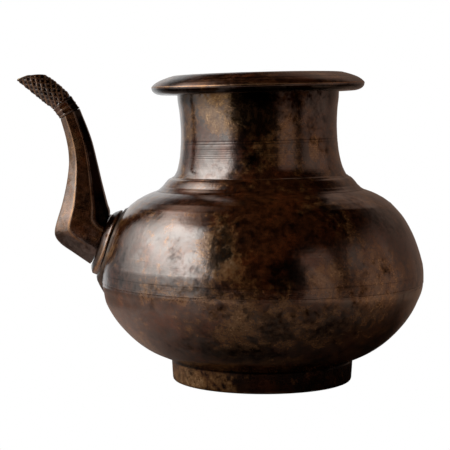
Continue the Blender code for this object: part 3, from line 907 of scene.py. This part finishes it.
# The nozzle's lip: how far it slopes in and up, and how much higher its far side stands near the tip
LIP = 0.35 * MM
LIP_LIFT = 0.02 * MM
FAR_LIP = 1.3 * MM


def hatch(point):
    """How much of a ridge's crest a point of the nozzle is, from 0 in a pit to 1."""
    crest = 0.0
    for pitch, share, turn in HATCH:
        along = point.x * math.cos(turn) + point.z * math.sin(turn)
        along += HATCH_WANDER * ripple(point, 7 * MM, turn)
        wave = 0.5 + 0.5 * math.cos(2 * math.pi * along / pitch)
        crest = max(crest, share * wave ** HATCH_SHARPNESS)
    return crest


def lip_rise(point):
    return FAR_LIP * ease(-point.x, 134 * MM, 139.5 * MM) * ease(point.y, -2 * MM, 2 * MM)


def make_nozzle(material):
    shape = FINE_EIGHT
    plain = [0.0] * len(shape)
    sides = smooth(NOZZLE_SECTIONS, 26)
    outer, wears_and_shades = [], []
    for index, side in enumerate(sides):
        along = index / len(sides)
        ring = arch_mouth(section(side, shape), ease(along, 0.75, 1.0))
        cut = ease(along, 0.0, 0.06) * (1.0 - ease(along, 0.93, 0.99))
        middle = sum(ring, Vector()) / len(ring)
        crests = [hatch(point) for point in ring]
        outer.append([point - (point - middle).normalized() * HATCH_DEPTH * (1 - crest) * cut
                      for point, crest in zip(ring, crests)])
        wears_and_shades.append([(0.90 * crest ** 1.2 - 0.50 * (1 - crest)) * cut for crest in crests])
    outer.append(arch_mouth(raised(section(NOZZLE_SECTIONS[-1], shape, LIP), lambda point: LIP_LIFT)))
    outer[-2:] = [raised(ring, lip_rise) for ring in outer[-2:]]
    bore = [section(side, shape, NOZZLE_WALL) for side in smooth(NOZZLE_SECTIONS[2:], 3)[::-1]]
    bore[0] = raised(arch_mouth(bore[0]), lip_rise)
    bore += [section(SOCKET_END, shape, NECKING + TAPER - GAP),
             section(NOZZLE_SECTIONS[1], shape, NECKING + TAPER - GAP),
             section(NOZZLE_SECTIONS[0], shape, NECKING - GAP)]
    # The cut edge is worn, and towards the tip it is painted with a highlight of bright metal
    wears_and_shades += [[1.2 + 0.8 * ease(-point.x, 132 * MM, 142 * MM) for point in ring]
              for ring in (outer[-1], bore[0])]
    wears_and_shades += [plain] * (len(bore) - 1)
    lofted("spout_nozzle", outer + bore, wears_and_shades, material, 50)


PLATE_STEPS = 96


def oval(factor, height, sag=0.0, run=0.0, lump=0.0):
    """A ring over the flange's oval scaled by factor, height off the belly; at its bottom it stands
    higher by sag and has run down by run, and lump is how uneven its edge and height are."""
    points = []
    for step in range(PLATE_STEPS):
        angle = 2 * math.pi * step / PLATE_STEPS
        up, across = math.cos(angle), math.sin(angle)
        low = max(-up, 0.0) ** 3
        rough = lump * ripple((up * 1.7, across * 1.7, factor), 0.55, 8.0)
        points.append(off_belly(PLATE_LENGTH * factor * up * (1 + 0.04 * rough) - run * low,
                                PLATE_WIDTH * factor * across * (1 + 0.04 * rough),
                                height * (1 + 0.3 * rough) + sag * low))
    return points


def edge_share(step):
    """How much the flange's edge is worn: fully on its sides' lower half, a quarter at its top and at
    its very bottom."""
    up = math.cos(2 * math.pi * step / PLATE_STEPS)
    return 0.25 + 0.75 * ease(0.35 - up, 0.0, 0.5) * (1 - ease(-up, 0.8, 1.0))


def make_flange(material):
    inner, middle = PLATE_FACE
    back_middle, back_edge = PLATE_BACK
    hole = ROOT_SPIGOT_HALF[0] / PLATE_LENGTH * 1.12
    # Wear, and what oval() takes, from the hole over the face and round the edge to the back
    outline = (
        (-0.45, hole, inner),
        (-0.45, 0.66, inner, 0.8 * MM),
        (-0.45, 0.80, inner, CROWN_SAG),
        (-0.45, 0.88, inner - 0.7 * MM, 2.7 * MM),
        (-0.4, 0.95, middle + 0.6 * MM, 3.6 * MM),
        (0.5, 0.985, middle + 0.1 * MM, PLATE_SAG),
        (0.9, 1.0, middle - 0.3 * MM, PLATE_SAG),
        (-0.3, 1.0, back_edge + 0.2 * MM),
        (-0.9, 0.985, back_edge),
        (0.0, hole, back_middle),
    )
    wears_and_shades = [[wear_and_shade * edge_share(step) if wear_and_shade > 0 else wear_and_shade for step in range(PLATE_STEPS)]
             for wear_and_shade, *_ in outline]
    lofted("spout_flange", [oval(*place) for _, *place in outline], wears_and_shades, material, 50)


def make_flange_solder(material):
    """Lumpy solder between the flange and the belly, run down below it."""
    top = PLATE_BACK[1] - GAP
    # Wear, and what oval() takes, from under the flange out to the run's thin edge
    outline = (
        (0.0, 0.98, 1.4 * GAP),
        (0.0, 0.84, 1.4 * GAP),
        (-0.9, 0.84, top),
        (-0.9, 1.02, top),
        (-0.9, 1.03, 0.5 * MM, 3.0 * MM, 0.0, 0.4),
        (-0.7, 1.055, 0.5 * MM, 3.0 * MM, 0.3 * MM, 0.8),
        (0.1, 1.08, 0.85 * MM, 2.6 * MM, 1.4 * MM, 1.0),
        (0.0, 1.10, 0.5 * MM, 1.9 * MM, 3.0 * MM, 1.0),
        (0.0, 1.13, 0.2 * MM, 1.1 * MM, 4.5 * MM, 1.0),
        (0.0, 1.15, 0.02 * MM, 0.0, 6.0 * MM),
    )
    wears_and_shades = [[wear_and_shade] * PLATE_STEPS for wear_and_shade, *_ in outline]
    lofted("flange_solder", [oval(*place) for _, *place in outline], wears_and_shades, material, 60)


# -------- the joints' filler

def make_ring_brazes(material):
    """Filler metal in the inner corners of the turned joints."""
    lip = BELLY_RADIUS - WALL - GAP
    neck = NECK[0][0]
    belly = [(lip, LIP_TOP + GAP + 1.6 * MM), (lip, LIP_TOP + GAP), (lip - WALL, LIP_TOP + GAP)]
    foot = in_mm((49.65, 10.1), (49.65, 7.2), (46.4, 9.2))
    rim = [(neck, RIM_SOCKET - GAP), (neck, NECK_TOP + GAP),
           (MOUTH_RADIUS + GAP, NECK_TOP + GAP), (MOUTH_RADIUS + GAP, RIM_SOCKET - GAP)]
    turned("belly_braze", spaced(belly, 0.8 * MM), material, leaning=False)
    turned("foot_braze", spaced(foot, 0.8 * MM), material, leaning=False)
    turned("neck_braze", in_mm((52.6, 111.6), (49.6, 109.0), (49.6, 112.6)), material)
    turned("rim_braze", spaced(rim, 0.5 * MM), material)


def make_spout_braze(material):
    """A fillet round the spout's spigot, inside the belly."""
    back = -WALL - 1.6 * GAP
    half_up, half_across = ROOT_SPIGOT_HALF
    outline = ((GAP, back), (2.0 * MM, back), (1.2 * MM, back - 0.9 * MM), (GAP, back - 1.5 * MM))
    rings = [eight_off_belly(half_up + spread, half_across + spread, height, ROUND_EIGHT)
             for spread, height in outline]
    lofted("spout_braze", rings, [[0.0] * len(ROUND_EIGHT)] * len(rings), material)


# -------- floor, light and camera

FLOOR_RADIUS = 0.42
FLOOR_CORNERS = 96
FLOOR_DROP = 0.05 * MM
WHITE = (1.0, 1.0, 1.0)

# The floor's paleness in the reflections, in three tints
FLOOR_NEAR = (1.0, 0.80, 0.66)
FLOOR_LEFT = (1.0, 0.86, 0.83)
FLOOR_RIGHT = (1.0, 0.72, 0.54)


def grey(graph, value):
    made = graph.node("ShaderNodeCombineColor")
    for socket in made.inputs[:3]:
        graph.put(value, socket)
    return made.outputs[0]


def tinted(graph, value, tint):
    return graph.mix(1.0, tint, grey(graph, value), "MULTIPLY")


def make_floor():
    """A small pale table: white to the camera, and dim where the brass reflects it."""
    mesh = bpy.data.meshes.new("floor")
    turns = [2 * math.pi * step / FLOOR_CORNERS for step in range(FLOOR_CORNERS)]
    ring = [(AXIS_X + FLOOR_RADIUS * math.cos(turn), FLOOR_RADIUS * math.sin(turn), -FLOOR_DROP)
            for turn in turns]
    mesh.from_pydata(ring, [], [tuple(range(FLOOR_CORNERS))])
    floor = bpy.data.objects.new("floor", mesh)
    bpy.context.scene.collection.objects.link(floor)
    material = bpy.data.materials.new("pale_floor")
    material.use_nodes = True
    graph = Graph(material.node_tree)
    material.node_tree.nodes.remove(material.node_tree.nodes["Principled BSDF"])

    place = graph.node("ShaderNodeTexCoord").outputs["Object"]
    parts = graph.node("ShaderNodeSeparateXYZ")
    graph.put(place, parts.inputs[0])
    x, y, _ = parts.outputs
    # Painted shadow and light: dim as the pot's own shadow, paler further out in front, and palest at
    # its left and right as painted pools of light
    from_axis = graph.vector("LENGTH", graph.vector("SUBTRACT", place, (AXIS_X, 0.0, 0.0)))
    near = graph.times(graph.span(from_axis, 0.052, 0.14, 0.08, 0.25),
                       graph.span(y, 0.02, 0.26, 1.0, 0.5))
    not_behind = graph.span(y, 0.12, -0.02, 0.50, 1.0)
    left = graph.times(graph.span(x, 0.0, -0.12, 0.0, 0.68), graph.span(x, -0.12, -0.21, 1.0, 0.60),
                       not_behind)
    right = graph.times(graph.span(x, 0.11, 0.24, 0.0, 0.60), not_behind)
    color = tinted(graph, near, FLOOR_NEAR)
    color = graph.mix(1.0, color, tinted(graph, left, FLOOR_LEFT), "ADD")
    color = graph.mix(1.0, color, tinted(graph, right, FLOOR_RIGHT), "ADD")

    lit = graph.node("ShaderNodeBsdfDiffuse")
    graph.put(color, lit.inputs["Color"])
    seen = graph.node("ShaderNodeEmission")
    graph.put(WHITE, seen.inputs["Color"])
    both = graph.node("ShaderNodeMixShader")
    graph.put(graph.node("ShaderNodeLightPath").outputs["Is Camera Ray"], both.inputs[0])
    graph.put(lit.outputs[0], both.inputs[1])
    graph.put(seen.outputs[0], both.inputs[2])
    graph.put(both.outputs[0], material.node_tree.nodes["Material Output"].inputs["Surface"])
    mesh.materials.append(material)


# The studio's dimmer lights: the degrees over which each fades in and out as it goes round, the same
# as it rises, and its strength. Degrees round go from the camera, to the left or to the right.
RIGHT_CARDS = (
    ((24, 32, 46, 58), (-40, 0, 26, 40), 0.37),
    ((58, 72, 100, 120), (-40, 0, 22, 40), 0.34),
    ((96, 122, 200, 210), (-40, 0, 24, 44), 0.20),
    ((128, 150, 172, 180), (24, 34, 44, 56), 0.26),
)
LEFT_CARDS = (
    ((72, 92, 136, 158), (34, 46, 54, 66), 1.0),
)
LEFT_WALL = (
    ((138, 154, 200, 210), (-30, -10, 20, 38), 0.85),
    ((102, 122, 142, 158), (-30, -12, 10, 22), 0.24),
)
SOFT_BOX = 4.9
SPILL = 0.10
SOFT_BOX_TINT = (1.0, 0.92, 0.86)
CARD_TINT = (1.0, 0.66, 0.51)
ROOM = (0.0011, 0.0007, 0.0005)


def make_world():
    """White to the camera, and a studio in the reflections: a tall soft light at the left, dim cards
    at the right and high at the left, a pale wall behind the pot at the left, and a dark room."""
    world = bpy.data.worlds.new("studio")
    bpy.context.scene.world = world
    world.use_nodes = True
    graph = Graph(world.node_tree)
    direction = graph.node("ShaderNodeTexCoord").outputs["Generated"]
    parts = graph.node("ShaderNodeSeparateXYZ")
    graph.put(direction, parts.inputs[0])
    x, y, z = parts.outputs
    degrees = math.degrees(1.0)
    to_left = graph.times(graph.math("ARCTAN2", graph.times(x, -1.0), graph.times(y, -1.0)), degrees)
    to_right = graph.times(to_left, -1.0)
    rise = graph.times(graph.math("ARCSINE", z), degrees)

    def window(value, fade_in, full, fade_out, gone):
        return graph.times(graph.span(value, fade_in, full), graph.span(value, fade_out, gone, 1.0, 0.0))

    def lights(turn, places):
        return graph.add(*(graph.times(window(turn, *around), window(rise, *up), strength)
                           for around, up, strength in places))

    # The soft light grows brighter upwards. Its right side leans away above the middle, and its left
    # side reaches furthest at the middle.
    brightness = graph.add(graph.span(rise, -30, -8, 0.0, 0.22), graph.span(rise, -6, 18, 0.0, 0.33),
                           graph.span(rise, 8, 26, 0.0, 0.45))
    tall = graph.times(brightness, graph.span(rise, 46, 58, 1.0, 0.0))
    above = graph.math("MAXIMUM", graph.add(rise, -24.0), 0.0)
    below = graph.math("MINIMUM", graph.math("MAXIMUM", rise, 0.0), 24.0)
    right_side = graph.add(to_left, graph.times(above, -0.75))
    left_side = graph.add(to_left, graph.times(above, 0.3), graph.times(below, -0.5))
    soft_box = graph.times(graph.span(right_side, 38, 49), graph.span(left_side, 75, 135, 1.0, 0.0),
                           tall, SOFT_BOX)
    spill = graph.times(window(right_side, 22, 42, 42, 56), window(rise, -30, 20, 45, 60), SPILL)
    cards = graph.add(lights(to_right, RIGHT_CARDS), lights(to_left, LEFT_CARDS))

    color = tinted(graph, graph.add(soft_box, spill), SOFT_BOX_TINT)
    color = graph.mix(1.0, color, tinted(graph, cards, CARD_TINT), "ADD")
    color = graph.mix(1.0, color, grey(graph, lights(to_left, LEFT_WALL)), "ADD")
    color = graph.mix(1.0, color, ROOM, "ADD")
    ray = graph.node("ShaderNodeLightPath").outputs["Is Camera Ray"]
    graph.put(graph.mix(ray, color, WHITE), world.node_tree.nodes["Background"].inputs["Color"])


# The camera stands a little to the left of the pot's axis and looks slightly down
CAMERA_SIDE = 22.1 * MM
CAMERA_DISTANCE = 850 * MM
CAMERA_HEIGHT = 156 * MM
CAMERA_DOWN = math.radians(4.35)
SENSOR_WIDTH = 36.0
LENS = 115.1


def make_camera():
    data = bpy.data.cameras.new("camera")
    data.sensor_width = SENSOR_WIDTH
    data.lens = LENS
    camera = bpy.data.objects.new("camera", data)
    camera.location = (AXIS_X - CAMERA_SIDE, -CAMERA_DISTANCE, CAMERA_HEIGHT)
    camera.rotation_euler = (math.pi / 2 - CAMERA_DOWN, 0.0, 0.0)
    bpy.context.scene.collection.objects.link(camera)
    bpy.context.scene.camera = camera


# -------- the scene

body = patina("body_patina", DARK, BROWN, RED, GOLD, streak=0.12, spots=BODY_SPOTS, stains=BODY_STAINS,
              relief=1.25)
trim = patina("trim_patina", DARK, BROWN, RED, GOLD, rub=-0.04, streak=0.35, roughness=(0.15, 0.26))
foot = patina("foot_patina", scaled(DARK, 0.4), scaled(BROWN, 0.45), scaled(RED, 0.5), GOLD,
              spots=FOOT_SPOTS, rub=-0.06, streak=0.15, roughness=(0.24, 0.36), ior=1.36)
spout = patina("spout_patina", (0.032, 0.011, 0.004), (0.075, 0.028, 0.009), (0.11, 0.034, 0.010),
               (0.36, 0.22, 0.11), rub=-0.04, spots=SPOUT_SPOTS, stains=SPOUT_STAINS,
               roughness=(0.15, 0.26))
nozzle = patina("nozzle_patina", DARK, (0.06, 0.026, 0.010), RED, GOLD, rub=-0.1,
                roughness=(0.18, 0.28), worn=(0.38, 0.21, 0.09))
braze = patina("braze_metal", (0.05, 0.035, 0.02), (0.10, 0.07, 0.04), (0.09, 0.05, 0.025),
               (0.3, 0.2, 0.1), roughness=(0.40, 0.6))
solder = patina("solder_metal", (0.024, 0.015, 0.009), (0.060, 0.040, 0.026), (0.06, 0.030, 0.016),
                (0.17, 0.12, 0.075), rub=-0.04, roughness=(0.32, 0.44), ior=1.5)

make_camera()
make_world()
make_floor()
make_lower_shell(body)
make_upper_shell(body)
make_collar(body)
make_neck(body)
make_rim(trim)
make_foot(foot)
make_ring_brazes(braze)
make_spout_tube(spout)
make_spout_collar(trim)
make_nozzle(nozzle)
make_flange(trim)
make_flange_solder(solder)
make_spout_braze(solder)
bpy.context.scene.view_settings.view_transform = "Standard"
